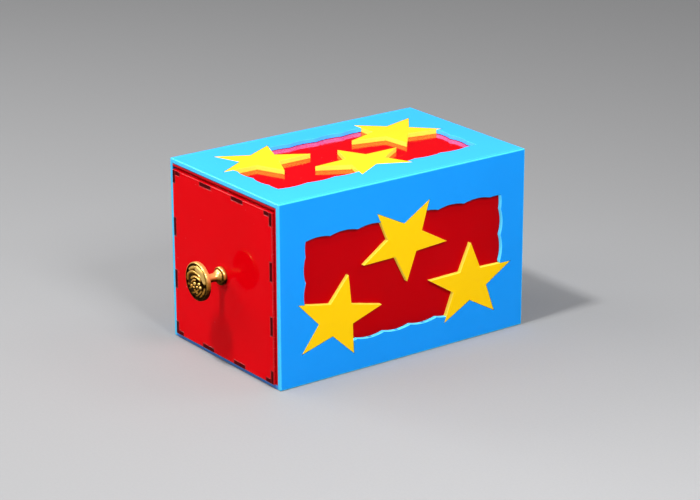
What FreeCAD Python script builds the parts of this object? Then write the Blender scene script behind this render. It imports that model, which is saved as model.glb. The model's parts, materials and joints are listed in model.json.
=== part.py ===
"""Drawer box for stage magic, in coloured acrylic sheet.

A casing with scalloped windows and inlaid stars, a finger-jointed drawer with a round knob, an
inner tray that can stay behind in the casing, and the quarter-turn catch that holds it there.
Millimetres. X runs to the right across the front, Y from the front to the back, Z up. The origin
is the middle of the casing's bottom face.
"""
import FreeCAD, Part
import math
import os
import re

import Sketcher

Vector = FreeCAD.Vector

DRIVING_SIZES = [
    ("box_width", 125.0, "casing, left to right"),
    ("box_depth", 200.0, "casing, front to back"),
    ("box_height", 125.0, "casing, bottom to top"),
    ("sheet", 3.0, "thickness of the casing, star and drawer sheet"),
    ("lining", 2.0, "thickness of the lining sheet"),
    ("lining_setback", 4.0, "the left lining starts this far behind the front edge"),
    ("window_front", 19.0, "top window's corner from the front edge"),
    ("side_window_front", 20.75, "side windows' corner from the front edge"),
    ("window_rear", 20.4, "window corner from the rear edge"),
    ("window_low", 22.0, "window corner from the casing's bottom or left edge"),
    ("window_high", 27.0, "top window's corner from the casing's right edge"),
    ("side_window_high", 28.65, "side windows' corner from the casing's top edge"),
    ("scallop_length", 21.7, "chord of a scallop along the box"),
    ("scallop_height", 18.2, "chord of a scallop across the box"),
    ("scallop_bulge", 1.6, "rise of a whole scallop above its chord"),
    ("low_scallop_start", 18.5, "first chord of the low edge, cut short by the corner"),
    ("side_scallop_start", 19.0, "first chord of the side windows' high edge, cut short likewise"),
    ("end_scallop_start", 9.8, "first chord of the end edges, cut short by the corner"),
    ("star_length", 35.75, "centre to tip, along the box"),
    ("star_height", 28.6, "centre to tip, across the box"),
    ("star_waist", 11.6, "centre to notch, across the box"),
    ("star_front", 45.0, "centre of the front star from the front edge"),
    ("star_rear", 45.8, "centre of the rear star from the rear edge"),
    ("star_low", 39.5, "centres of these two stars from the casing's bottom or left edge"),
    ("star_high", 43.8, "centre of the middle star from the opposite edge"),
    ("star_kerf", 0.1, "saw gap round an inlaid star"),
    ("drawer_gap", 0.25, "running gap beside and below the drawer"),
    ("drawer_headroom", 1.5, "gap between the drawer and the top lining"),
    ("drawer_proud", 1.6, "drawer front stands out of the casing"),
    ("drawer_stop_gap", 0.3, "drawer sides to the casing's back when shut"),
    ("rail_depth", 12.0, "width of the rail behind the drawer front's top edge"),
    ("finger_pitch", 36.7, "from finger to finger along a joint"),
    ("finger_width", 13.0, "length of one finger"),
    ("finger_least", 2.0, "shortest piece of a finger that is kept at a corner"),
    ("tray_sheet", 2.0, "thickness of the tray's sheet"),
    ("tray_gap", 0.3, "running gap round the tray"),
    ("tray_headroom", 1.0, "tray's top edge below the drawer's top rail"),
    ("knob_radius", 13.0, "knob, over the rim"),
    ("knob_reach", 22.9, "knob's crown in front of the drawer front"),
    ("knob_crown", 2.8, "rise of the crown above the rim"),
    ("knob_rim", 2.8, "thickness of the rim"),
    ("knob_lip", 0.8, "width of the rim's lip round the crown"),
    ("knob_groove", 0.9, "depth of the groove inside the lip"),
    ("knob_flare", 3.4, "length of the flare behind the rim"),
    ("neck_radius", 2.8, "straight part of the knob's neck"),
    ("flare_hollow", 16.0, "radius of the hollow curve behind the rim"),
    ("foot_radius", 6.2, "ring that seats on the drawer front"),
    ("foot_thickness", 3.0, "ring that seats on the drawer front"),
    ("foot_round", 1.4, "radius of the ring's front edge"),
    ("foot_hollow", 5.8, "radius of the hollow curve from the ring to the neck"),
    ("screw_radius", 2.0, "knob screw's thread"),
    ("screw_hole_gap", 0.3, "clearance of the hole in the drawer front"),
    ("screw_grip", 8.0, "thread inside the knob"),
    ("screw_head_radius", 3.8, "knob screw's pan head"),
    ("screw_head_height", 2.6, "knob screw's pan head"),
    ("screw_slot", 1.0, "width and depth of the driver slot"),
    ("washer_radius", 5.0, "washer under the screw's head"),
    ("washer_thickness", 0.8, "washer under the screw's head"),
    ("seat_gap", 0.05, "radial gap between a pin or thread and the hole that is fixed to it"),
    ("catch_drop", 33.0, "catch axis below the casing's top"),
    ("catch_room", 2.2, "tray's back to the catch collar"),
    ("catch_play", 2.0, "catch bar to the tray's back"),
    ("bar_length", 18.0, "catch bar, tip to tip"),
    ("bar_width", 5.0, "catch bar"),
    ("bar_thickness", 3.0, "catch bar, along the shaft"),
    ("slot_margin", 1.5, "slot in the tray's back round the catch bar"),
    ("shaft_radius", 2.0, "catch shaft"),
    ("shaft_gap", 0.08, "running gap of the shaft in its bush"),
    ("catch_end_gap", 0.3, "end play of the catch on each side of its bush"),
    ("bush_wall", 2.0, "wall of the bush"),
    ("flange_width", 2.2, "bush flange outside its wall"),
    ("flange_thickness", 1.2, "bush flange"),
    ("collar_wall", 2.2, "wall of the catch collar"),
    ("collar_length", 2.5, "catch collar"),
    ("turn_radius", 9.0, "turn knob at the back"),
    ("turn_thickness", 4.5, "turn knob's disc"),
    ("turn_cap", 1.2, "metal of the disc behind the shaft's end"),
    ("grip_width", 4.0, "raised grip on the turn knob"),
    ("grip_height", 3.0, "raised grip on the turn knob"),
    ("grip_inset", 1.0, "the grip's ends from the disc's edge"),
]

# Turn of each star in degrees, from the front star to the rear one.
STAR_TURNS = {
    "top": (18.8, 51.7, 32.8),
    "right": (3.4, 56.8, 17.5),
    "left": (62.0, 30.0, 46.0),
}
STAR_PLACES = ("front", "middle", "rear")
STAR_POINTS = 5

# A rest shorter than this share of a chord joins the scallop before it.
LEAST_SCALLOP = 0.1

# Faces that several pieces share, as formulas of the driving sizes.
FRONT = "(-box_depth / 2)"
BACK = "(box_depth / 2)"
BACK_INSIDE = f"({BACK} - sheet)"
SIDE_INSIDE = "(box_width / 2 - sheet)"
LINING_INSIDE = f"({SIDE_INSIDE} - lining)"
TOP_INSIDE = "(box_height - sheet)"
CEILING = f"({TOP_INSIDE} - lining)"
DRAWER_SIDE = f"({LINING_INSIDE} - drawer_gap)"
DRAWER_SIDE_INSIDE = f"({DRAWER_SIDE} - sheet)"
DRAWER_LOW = "(sheet + drawer_gap)"
DRAWER_FLOOR = f"({DRAWER_LOW} + sheet)"
DRAWER_TOP = f"({CEILING} - drawer_headroom)"
DRAWER_MIDDLE = f"(({DRAWER_LOW} + {DRAWER_TOP}) / 2)"
PANEL_FACE = f"({FRONT} - drawer_proud)"
PANEL_INSIDE = f"({PANEL_FACE} + sheet)"
DRAWER_REAR = f"({BACK_INSIDE} - drawer_stop_gap)"
TRAY_SIDE = f"({DRAWER_SIDE_INSIDE} - tray_gap)"
TRAY_SIDE_INSIDE = f"({TRAY_SIDE} - tray_sheet)"
TRAY_LOW = f"({DRAWER_FLOOR} + tray_gap)"
TRAY_FLOOR = f"({TRAY_LOW} + tray_sheet)"
TRAY_TOP = f"({DRAWER_TOP} - sheet - tray_headroom)"
TRAY_FRONT = f"({PANEL_INSIDE} + washer_thickness + screw_head_height + tray_gap)"
TRAY_REAR = f"({BACK_INSIDE} - catch_end_gap - collar_length - catch_room)"
TURN_FACE = f"({BACK} + flange_thickness + catch_end_gap)"
UNDER_RAIL = f"({DRAWER_TOP} - sheet)"
BUSH_RADIUS = "(shaft_radius + shaft_gap + bush_wall)"
CATCH_HEIGHT = "(box_height - catch_drop)"

doc = FreeCAD.newDocument("DrawerBox")
sizes = doc.addObject("Spreadsheet::Sheet", "Sizes")
ALIASES = set()
sub_parts = []


def fill_sheet():
    """Write each driving size to its own row: meaning, name, value."""
    for row, (alias, value, meaning) in enumerate(DRIVING_SIZES, start=1):
        sizes.set(f"A{row}", meaning)
        sizes.set(f"B{row}", alias)
        sizes.set(f"C{row}", str(value))
        sizes.setAlias(f"C{row}", alias)
        ALIASES.add(alias)
    doc.recompute()


def bind(formula):
    """Spell a formula of plain size names as an expression on the sheet."""
    return re.sub(r"[a-z_]+", lambda word: spelled(word.group()), str(formula))


def spelled(word):
    return f"Sizes.{word}" if word in ALIASES else word


def amount(formula):
    """The number that a formula gives now."""
    return float(sizes.evalExpression(bind(formula)))


def finished(item, name):
    """Name a sub-part and keep it for the export."""
    item.Label = name
    sub_parts.append(item)
    return item


def block(name, low, high):
    """A box between two corners that are given as formulas."""
    box = doc.addObject("Part::Box", name)
    for side, axis, start, end in zip(("Length", "Width", "Height"), "xyz", low, high):
        box.setExpression(side, bind(f"({end}) - ({start})"))
        box.setExpression(f"Placement.Base.{axis}", bind(start))
    return box


def rod(name, radius, low, length, height):
    """A cylinder along Y from the plane y = low, on the X = 0 plane at the given height."""
    cylinder = doc.addObject("Part::Cylinder", name)
    cylinder.Placement = FreeCAD.Placement(Vector(), FreeCAD.Rotation(Vector(1, 0, 0), -90))
    cylinder.setExpression("Radius", bind(radius))
    cylinder.setExpression("Height", bind(length))
    cylinder.setExpression("Placement.Base.y", bind(low))
    cylinder.setExpression("Placement.Base.z", bind(height))
    return cylinder


def fused(name, items):
    union = doc.addObject("Part::MultiFuse", name)
    union.Shapes = items
    union.Refine = True
    return union


def cut(name, base, tools):
    """The base less the tools."""
    difference = doc.addObject("Part::Cut", name)
    difference.Base = base
    difference.Tool = tools[0] if len(tools) == 1 else fused(f"{name}_cutter", tools)
    difference.Refine = True
    return difference


def finger_spans(middle, reach, whole=False):
    """Spans of a joint's fingers, in pairs out from the middle of an edge.

    An edge that ends inside a finger keeps the rest of it, unless only whole fingers are wanted.
    """
    spans = []
    step = 0
    while True:
        near = f"(finger_pitch * {step + 0.5} - finger_width / 2)"
        far = f"(finger_pitch * {step + 0.5} + finger_width / 2)"
        needed = far if whole else near
        if amount(f"{needed} + finger_least") > amount(reach):
            return spans
        end = f"min({far}; {reach})"
        spans.append((f"({middle} + {near})", f"({middle} + {end})"))
        spans.append((f"({middle} - {end})", f"({middle} - {near})"))
        step += 1


def pinned_outline(sketch, corners):
    """A closed outline through corners of (radius, height) formulas, each bound to the sheet.

    A third value makes the leg that follows an arc of that radius, and a fourth, 1 or -1, says
    to which side of the way it bows.
    """
    places = [Vector(amount(corner[0]), amount(corner[1]), 0) for corner in corners]
    legs = []
    for index, corner in enumerate(corners):
        start = places[index]
        end = places[(index + 1) % len(places)]
        if len(corner) == 2:
            legs.append((sketch.addGeometry(Part.LineSegment(start, end), False), 1, 2))
            continue
        chord = end - start
        radius = amount(corner[2])
        rise = radius - math.sqrt(radius ** 2 - (chord.Length / 2) ** 2)
        bow = Vector(-chord.y, chord.x, 0).normalize() * rise * corner[3]
        leg = sketch.addGeometry(Part.Arc(start, start + chord * 0.5 + bow, end), False)
        to_first = sketch.getPoint(leg, 1).distanceToPoint(start)
        to_second = sketch.getPoint(leg, 2).distanceToPoint(start)
        legs.append((leg, 1, 2) if to_first < to_second else (leg, 2, 1))
        constrain(sketch, corner[2], "Radius", leg)
    for index, corner in enumerate(corners):
        leg, start, _ = legs[index]
        previous, _, end = legs[index - 1]
        sketch.addConstraint(Sketcher.Constraint("Coincident", previous, end, leg, start))
        for kind, formula, axis in (("DistanceX", corner[0], -2), ("DistanceY", corner[1], -1)):
            if amount(formula) == 0:
                sketch.addConstraint(Sketcher.Constraint("PointOnObject", leg, start, axis))
            else:
                constrain(sketch, formula, kind, -1, 1, leg, start)


def constrain(sketch, formula, kind, *places):
    """Add a dimension and bind it to its formula."""
    index = sketch.addConstraint(Sketcher.Constraint(kind, *places, amount(formula)))
    sketch.setExpression(f"Constraints[{index}]", bind(formula))


def origin_feature(body, role):
    return next(item for item in body.Origin.OriginFeatures if item.Role == role)


def turned(name, corners, seat, height, backward=False):
    """A turned piece on an axis along Y.

    Its outline is drawn as (radius, distance from the seat), and the seat is the plane y = seat.
    """
    body = doc.addObject("PartDesign::Body", name)
    sketch = body.newObject("Sketcher::SketchObject", f"{name}_outline")
    sketch.AttachmentSupport = [(origin_feature(body, "XY_Plane"), "")]
    sketch.MapMode = "FlatFace"
    pinned_outline(sketch, corners)
    lathe = body.newObject("PartDesign::Revolution", f"{name}_lathe")
    lathe.Profile = sketch
    lathe.ReferenceAxis = (sketch, ["V_Axis"])
    lathe.Angle = 360
    body.Tip = lathe
    turn = 180 if backward else 0
    body.Placement = FreeCAD.Placement(Vector(), FreeCAD.Rotation(Vector(0, 0, 1), turn))
    body.setExpression("Placement.Base.y", bind(seat))
    body.setExpression("Placement.Base.z", bind(height))
    return body


def breadth(face):
    """The size of a face across the box."""
    return "box_width" if face == "top" else "box_height"


def face_frame(face):
    """Inner corner of a face's sheet, and its directions: along the box, across it, outward."""
    half_width = amount("box_width / 2")
    front = amount(FRONT)
    inside = amount(SIDE_INSIDE)
    along = Vector(0, 1, 0)
    if face == "top":
        return Vector(-half_width, front, amount(TOP_INSIDE)), along, Vector(1, 0, 0), Vector(0, 0, 1)
    outward = Vector(1 if face == "right" else -1, 0, 0)
    return Vector(inside * outward.x, front, 0), along, Vector(0, 0, 1), outward


def scalloped_edge(start, end, chord, first, outward):
    """Arcs from one window corner to the next, each bowed outward on the same radius."""
    bulge = amount("scallop_bulge")
    radius = (chord ** 2 / 4 + bulge ** 2) / (2 * bulge)
    length = (end - start).Length
    direction = (end - start).normalize()
    stops = [0.0]
    reach = first
    while reach < length - LEAST_SCALLOP * chord:
        stops.append(reach)
        reach += chord
    stops.append(length)
    arcs = []
    for low, high in zip(stops, stops[1:]):
        half = (high - low) / 2
        rise = radius - math.sqrt(radius ** 2 - half ** 2)
        crest = start + direction * (low + half) + outward * rise
        arcs.append(Part.Arc(start + direction * low, crest, start + direction * high).toShape())
    return arcs


def window_prism(face):
    """The scalloped opening through a face's sheet."""
    corner, along, across, outward = face_frame(face)
    kind = "window" if face == "top" else "side_window"
    front = corner + along * amount(f"{kind}_front")
    rear = corner + along * amount("box_depth - window_rear")
    low = across * amount("window_low")
    high = across * amount(f"{breadth(face)} - {kind}_high")
    chord = amount("scallop_length")
    high_start = chord if face == "top" else amount("side_scallop_start")
    low_start = amount("low_scallop_start")
    end_chord = amount("scallop_height")
    end_start = amount("end_scallop_start")
    edges = scalloped_edge(front + high, rear + high, chord, high_start, across)
    edges += scalloped_edge(front + low, rear + low, chord, low_start, -across)
    edges += scalloped_edge(rear + high, rear + low, end_chord, end_start, along)
    edges += scalloped_edge(front + high, front + low, end_chord, end_start, -along)
    outline = Part.Wire(Part.__sortEdges__(edges))
    return Part.Face(outline).extrude(outward * amount("sheet"))


def star_face(face, place):
    """Flat outline of one star on the inner plane of its sheet."""
    corner, along, across, _ = face_frame(face)
    seats = {
        "front": ("star_front", "star_low"),
        "middle": ("(star_front + box_depth - star_rear) / 2", f"{breadth(face)} - star_high"),
        "rear": ("box_depth - star_rear", "star_low"),
    }
    centre = corner + along * amount(seats[place][0]) + across * amount(seats[place][1])
    turn = math.radians(STAR_TURNS[face][STAR_PLACES.index(place)])
    stretch = amount("star_length / star_height")
    tips = []
    for index in range(2 * STAR_POINTS):
        angle = turn + index * math.pi / STAR_POINTS
        reach = amount("star_height" if index % 2 == 0 else "star_waist")
        sideways = across * (reach * math.sin(angle))
        tips.append(centre + along * (reach * stretch * math.cos(angle)) + sideways)
    return Part.Face(Part.makePolygon(tips + tips[:1]))


def cutter(face):
    """The window and the star seats of one face, as one tool.

    The pockets that a star's arms close off against the window's edge stay filled with sheet.
    """
    outward = face_frame(face)[3] * amount("sheet")
    tool = window_prism(face)
    for place in STAR_PLACES:
        tool = tool.cut(star_face(face, place).extrude(outward))
    tool = max(tool.Solids, key=lambda solid: solid.Volume)
    for place in STAR_PLACES:
        seat = star_face(face, place).makeOffset2D(amount("star_kerf"), join=2)
        tool = tool.fuse(seat.extrude(outward))
    shaped = doc.addObject("Part::Feature", f"window_{face}_cutter")
    shaped.Shape = tool.removeSplitter()
    return shaped


def make_stars(face):
    outward = face_frame(face)[3] * amount("sheet")
    for place in STAR_PLACES:
        star = doc.addObject("Part::Feature", f"star_{face}_{place}")
        star.Shape = star_face(face, place).extrude(outward)
        finished(star, f"star_{face}_{place}")


def mirrored_pair(side, inner, outer):
    """The two X formulas of a wall on one side, in rising order."""
    return (inner, outer) if side == "right" else (f"-{outer}", f"-{inner}")


def spanned(name, low, high, spans):
    """One box for each span, which fills the direction that the corners leave as None."""
    boxes = []
    for index, span in enumerate(spans, start=1):
        start = [span[0] if value is None else value for value in low]
        end = [span[1] if value is None else value for value in high]
        boxes.append(block(f"{name}_{index}", start, end))
    return boxes


def make_casing():
    """Side sheets full height, with the other sheets between them."""
    for side in ("right", "left"):
        inner, outer = mirrored_pair(side, SIDE_INSIDE, "(box_width / 2)")
        wall = block(f"casing_{side}_sheet", (inner, FRONT, 0), (outer, BACK, "box_height"))
        finished(cut(f"casing_{side}", wall, [cutter(side)]), f"casing_{side}")
    left, right = f"-{SIDE_INSIDE}", SIDE_INSIDE
    top = block("casing_top_sheet", (left, FRONT, TOP_INSIDE), (right, BACK, "box_height"))
    finished(cut("casing_top", top, [cutter("top")]), "casing_top")
    finished(block("casing_bottom", (left, FRONT, 0), (right, BACK, "sheet")), "casing_bottom")
    back = block("casing_back_sheet", (left, BACK_INSIDE, "sheet"), (right, BACK, TOP_INSIDE))
    hole = rod("bush_hole", f"{BUSH_RADIUS} + seat_gap", BACK_INSIDE, "sheet", CATCH_HEIGHT)
    finished(cut("casing_back", back, [hole]), "casing_back")


def make_linings():
    """Coloured sheets glued inside the casing, behind the windows."""
    left, right = f"-{SIDE_INSIDE}", SIDE_INSIDE
    top = block("lining_top", (left, FRONT, CEILING), (right, BACK_INSIDE, TOP_INSIDE))
    finished(top, "lining_top")
    for side in ("right", "left"):
        inner, outer = mirrored_pair(side, LINING_INSIDE, SIDE_INSIDE)
        start = FRONT if side == "right" else f"({FRONT} + lining_setback)"
        wall = block(f"lining_{side}", (inner, start, "sheet"), (outer, BACK_INSIDE, CEILING))
        finished(wall, f"lining_{side}")


def make_drawer():
    """A front notched on four edges, two sides, a bottom and a rail, open at the back."""
    across = finger_spans(0, DRAWER_SIDE)
    across_inside = finger_spans(0, DRAWER_SIDE_INSIDE)
    upright = finger_spans(DRAWER_MIDDLE, f"(({DRAWER_TOP} - {DRAWER_LOW}) / 2)")
    middle = f"(({DRAWER_REAR} + {PANEL_INSIDE}) / 2)"
    lengthways = finger_spans(middle, f"(({DRAWER_REAR} - {PANEL_INSIDE}) / 2)", whole=True)
    left, right = f"-{DRAWER_SIDE}", DRAWER_SIDE
    left_inside, right_inside = f"-{DRAWER_SIDE_INSIDE}", DRAWER_SIDE_INSIDE

    panel = block("drawer_panel", (left, PANEL_FACE, DRAWER_LOW), (right, PANEL_INSIDE, DRAWER_TOP))
    notches = [rod("screw_hole", "screw_radius + screw_hole_gap", PANEL_FACE, "sheet", DRAWER_MIDDLE)]
    notches += spanned(
        "rail_notch", (None, PANEL_FACE, UNDER_RAIL), (None, PANEL_INSIDE, DRAWER_TOP), across)
    notches += spanned(
        "floor_notch", (None, PANEL_FACE, DRAWER_LOW), (None, PANEL_INSIDE, DRAWER_FLOOR), across)
    for side in ("right", "left"):
        inner, outer = mirrored_pair(side, DRAWER_SIDE_INSIDE, DRAWER_SIDE)
        notches += spanned(
            f"{side}_notch", (inner, PANEL_FACE, None), (outer, PANEL_INSIDE, None), upright)
        wall = block(
            f"drawer_{side}_wall", (inner, PANEL_INSIDE, DRAWER_LOW), (outer, DRAWER_REAR, DRAWER_TOP))
        fingers = spanned(
            f"{side}_finger", (inner, PANEL_FACE, None), (outer, PANEL_INSIDE, None), upright)
        slots = spanned(
            f"{side}_slot", (inner, None, DRAWER_LOW), (outer, None, DRAWER_FLOOR), lengthways)
        comb = fused(f"drawer_{side}_comb", [wall] + fingers)
        finished(cut(f"drawer_{side}_side", comb, slots), f"drawer_{side}_side")
    finished(cut("drawer_front", panel, notches), "drawer_front")

    floor = block(
        "drawer_floor", (left_inside, PANEL_INSIDE, DRAWER_LOW), (right_inside, DRAWER_REAR, DRAWER_FLOOR))
    fingers = spanned(
        "floor_finger", (None, PANEL_FACE, DRAWER_LOW), (None, PANEL_INSIDE, DRAWER_FLOOR), across_inside)
    fingers += spanned("floor_tab", (left, None, DRAWER_LOW), (right, None, DRAWER_FLOOR), lengthways)
    finished(fused("drawer_bottom", [floor] + fingers), "drawer_bottom")

    rail_rear = f"({PANEL_INSIDE} + rail_depth)"
    rail = block("rail", (left_inside, PANEL_INSIDE, UNDER_RAIL), (right_inside, rail_rear, DRAWER_TOP))
    fingers = spanned(
        "rail_finger", (None, PANEL_FACE, UNDER_RAIL), (None, PANEL_INSIDE, DRAWER_TOP), across_inside)
    finished(fused("drawer_top_rail", [rail] + fingers), "drawer_top_rail")


def make_tray():
    """An open box that slides inside the drawer, with the catch's slot through its back."""
    upright = finger_spans(f"(({TRAY_TOP} + {TRAY_LOW}) / 2)", f"(({TRAY_TOP} - {TRAY_LOW}) / 2)", whole=True)
    lengthways = finger_spans(
        f"(({TRAY_REAR} + {TRAY_FRONT}) / 2)", f"(({TRAY_REAR} - {TRAY_FRONT}) / 2)", whole=True)
    across = finger_spans(0, TRAY_SIDE_INSIDE, whole=True)
    left, right = f"-{TRAY_SIDE}", TRAY_SIDE
    left_inside, right_inside = f"-{TRAY_SIDE_INSIDE}", TRAY_SIDE_INSIDE
    front_inside = f"({TRAY_FRONT} + tray_sheet)"
    back_inside = f"({TRAY_REAR} - tray_sheet)"
    ends = {"front": (TRAY_FRONT, front_inside), "back": (back_inside, TRAY_REAR)}

    for side in ("right", "left"):
        inner, outer = mirrored_pair(side, TRAY_SIDE_INSIDE, TRAY_SIDE)
        wall = block(f"tray_{side}_wall", (inner, TRAY_FRONT, TRAY_LOW), (outer, TRAY_REAR, TRAY_TOP))
        slots = spanned(f"tray_{side}_slot", (inner, None, TRAY_LOW), (outer, None, TRAY_FLOOR), lengthways)
        for end, (start, stop) in ends.items():
            slots += spanned(f"tray_{side}_{end}_notch", (inner, start, None), (outer, stop, None), upright)
        finished(cut(f"tray_{side}_side", wall, slots), f"tray_{side}_side")

    for end, (start, stop) in ends.items():
        wall = block(f"tray_{end}_wall", (left_inside, start, TRAY_LOW), (right_inside, stop, TRAY_TOP))
        fingers = spanned(f"tray_{end}_finger", (left, start, None), (right, stop, None), upright)
        holes = spanned(f"tray_{end}_slot", (None, start, TRAY_LOW), (None, stop, TRAY_FLOOR), across)
        if end == "back":
            holes.append(catch_slot(start, stop))
        finished(cut(f"tray_{end}", fused(f"tray_{end}_comb", [wall] + fingers), holes), f"tray_{end}")

    floor = block(
        "tray_floor", (left_inside, front_inside, TRAY_LOW), (right_inside, back_inside, TRAY_FLOOR))
    fingers = spanned("tray_tab", (left, None, TRAY_LOW), (right, None, TRAY_FLOOR), lengthways)
    fingers += spanned("tray_tongue", (None, TRAY_FRONT, TRAY_LOW), (None, TRAY_REAR, TRAY_FLOOR), across)
    finished(fused("tray_bottom", [floor] + fingers), "tray_bottom")


def catch_slot(start, stop):
    """The upright slot that the catch bar passes while it is upright."""
    half_width = "(bar_width / 2 + slot_margin)"
    half_height = "(bar_length / 2 + slot_margin)"
    low = f"{CATCH_HEIGHT} - {half_height}"
    high = f"{CATCH_HEIGHT} + {half_height}"
    return block("tray_catch_slot", (f"-{half_width}", start, low), (half_width, stop, high))


def make_knob():
    """The drawer's knob, and the screw and washer that hold it from inside."""
    bore = "(screw_radius + seat_gap)"
    bore_end = "(screw_grip + seat_gap)"
    round_edge = "(knob_rim / 2)"
    rim_front = "(knob_reach - knob_crown)"
    rim_back = f"({rim_front} - knob_rim)"
    rim_middle = f"({rim_front} - {round_edge})"
    rim_inside = f"(knob_radius - {round_edge})"
    crown_edge = f"({rim_inside} - knob_lip)"
    crown_rise = "(knob_crown + knob_groove)"
    crown_round = f"(({crown_edge} ^ 2 + {crown_rise} ^ 2) / (2 * {crown_rise}))"
    neck_foot = "(foot_radius - foot_round)"
    narrowing = f"({neck_foot} - neck_radius)"
    neck_start = f"(foot_thickness + sqrt(foot_hollow ^ 2 - (foot_hollow - {narrowing}) ^ 2))"
    outline = [
        (bore, 0),
        ("foot_radius", 0),
        ("foot_radius", "(foot_thickness - foot_round)", "foot_round", -1),
        (neck_foot, "foot_thickness", "foot_hollow", 1),
        ("neck_radius", neck_start),
        ("neck_radius", f"({rim_back} - knob_flare)", "flare_hollow", 1),
        (rim_inside, rim_back, round_edge, -1),
        ("knob_radius", rim_middle, round_edge, -1),
        (rim_inside, rim_front),
        (crown_edge, rim_front),
        (crown_edge, f"({rim_front} - knob_groove)", crown_round, -1),
        (0, "knob_reach"),
        (0, bore_end),
        (bore, bore_end),
    ]
    finished(turned("knob", outline, PANEL_FACE, DRAWER_MIDDLE, backward=True), "knob")

    thickness = "washer_thickness"
    washer = [(bore, 0), ("washer_radius", 0), ("washer_radius", thickness), (bore, thickness)]
    finished(turned("knob_washer", washer, PANEL_INSIDE, DRAWER_MIDDLE), "knob_washer")

    head_top = f"({PANEL_INSIDE} + washer_thickness + screw_head_height)"
    tip = "(screw_head_height + washer_thickness + sheet + screw_grip)"
    screw = [
        (0, 0),
        ("screw_head_radius - screw_head_height / 4", 0),
        ("screw_head_radius", "screw_head_height / 2"),
        ("screw_head_radius", "screw_head_height"),
        ("screw_radius", "screw_head_height"),
        ("screw_radius", tip),
        (0, tip),
    ]
    blank = turned("knob_screw_blank", screw, head_top, DRAWER_MIDDLE, backward=True)
    slot = block(
        "driver_slot",
        ("-screw_head_radius", f"{head_top} - screw_slot", f"{DRAWER_MIDDLE} - screw_slot / 2"),
        ("screw_head_radius", head_top, f"{DRAWER_MIDDLE} + screw_slot / 2"))
    finished(cut("knob_screw", blank, [slot]), "knob_screw")


def make_catch():
    """A turn knob outside, a shaft through the bush, and a bar that hooks behind the tray's back."""
    bore = "(shaft_radius + shaft_gap)"
    seat = "(shaft_radius + seat_gap)"
    flange = f"({BUSH_RADIUS} + flange_width)"
    flange_back = "(sheet + flange_thickness)"
    bush = [
        (bore, 0),
        (BUSH_RADIUS, 0),
        (BUSH_RADIUS, "sheet"),
        (flange, "sheet"),
        (flange, flange_back),
        (bore, flange_back),
    ]
    finished(turned("catch_bush", bush, BACK_INSIDE, CATCH_HEIGHT), "catch_bush")

    collar_radius = f"({seat} + collar_wall)"
    collar = [(seat, 0), (collar_radius, 0), (collar_radius, "collar_length"), (seat, "collar_length")]
    collar_front = f"({BACK_INSIDE} - catch_end_gap - collar_length)"
    finished(turned("catch_collar", collar, collar_front, CATCH_HEIGHT), "catch_collar")

    bar_rear = f"({TRAY_REAR} - tray_sheet - catch_play)"
    bar_front = f"({bar_rear} - bar_thickness)"
    blank = block(
        "catch_bar_blank",
        ("-bar_width / 2", bar_front, f"{CATCH_HEIGHT} - bar_length / 2"),
        ("bar_width / 2", bar_rear, f"{CATCH_HEIGHT} + bar_length / 2"))
    hole = rod("catch_bar_hole", seat, bar_front, "bar_thickness", CATCH_HEIGHT)
    finished(cut("catch_bar", blank, [hole]), "catch_bar")

    bore_depth = "(turn_thickness - turn_cap)"
    shaft_end = f"({TURN_FACE} + {bore_depth})"
    shaft = rod("catch_shaft", "shaft_radius", bar_front, f"{shaft_end} - {bar_front}", CATCH_HEIGHT)
    finished(shaft, "catch_shaft")

    disc = [
        (seat, 0),
        ("turn_radius", 0),
        ("turn_radius", "turn_thickness"),
        (0, "turn_thickness"),
        (0, bore_depth),
        (seat, bore_depth),
    ]
    face = turned("catch_knob_disc", disc, TURN_FACE, CATCH_HEIGHT)
    half_grip = "(turn_radius - grip_inset)"
    disc_back = f"({TURN_FACE} + turn_thickness)"
    grip = block(
        "catch_knob_grip",
        ("-grip_width / 2", disc_back, f"{CATCH_HEIGHT} - {half_grip}"),
        ("grip_width / 2", f"{disc_back} + grip_height", f"{CATCH_HEIGHT} + {half_grip}"))
    finished(fused("catch_knob", [face, grip]), "catch_knob")


def check_and_export():
    """Stop on any failed object or unsound shape, then write one file for each sub-part."""
    for item in doc.Objects:
        if {"Invalid", "Error"} & set(item.State):
            raise RuntimeError(f"{item.Label} did not build: {item.State}")
    for item in sub_parts:
        if item.Shape.isNull() or not item.Shape.isValid() or item.Shape.Volume <= 0:
            raise RuntimeError(f"{item.Label} has no sound shape")
    os.makedirs("parts", exist_ok=True)
    for item in sub_parts:
        item.Shape.exportStep(os.path.join("parts", f"{item.Label}.step"))
        print(f"{item.Label}: {len(item.Shape.Solids)} solid, {item.Shape.Volume:.1f} mm3")


fill_sheet()
make_casing()
make_linings()
for decorated in STAR_TURNS:
    make_stars(decorated)
make_drawer()
make_tray()
make_knob()
make_catch()
doc.recompute()
check_and_export()
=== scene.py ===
"""The look of a stage magician's drawer box in coloured acrylic sheet.

Every sheet and star keeps its own outline and gets broken arrises and cut edges of its own. Some
colours are painted light and shade: the sheets on top and the window walls that face the light
are painted paler, the blue and yellow cut edges are painted paler and glow, and seams, shaded
chamfers and red edges that face up are painted dark. The drawer knob is turned afresh in antique
brass, with a rose in relief on its face, its brass painted lighter above and darker below. Metres,
X to the right across the front, Y to the back, Z up.
"""
import json
import math

import bmesh
import bpy
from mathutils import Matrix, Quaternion, Vector
from mathutils.bvhtree import BVHTree


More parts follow.
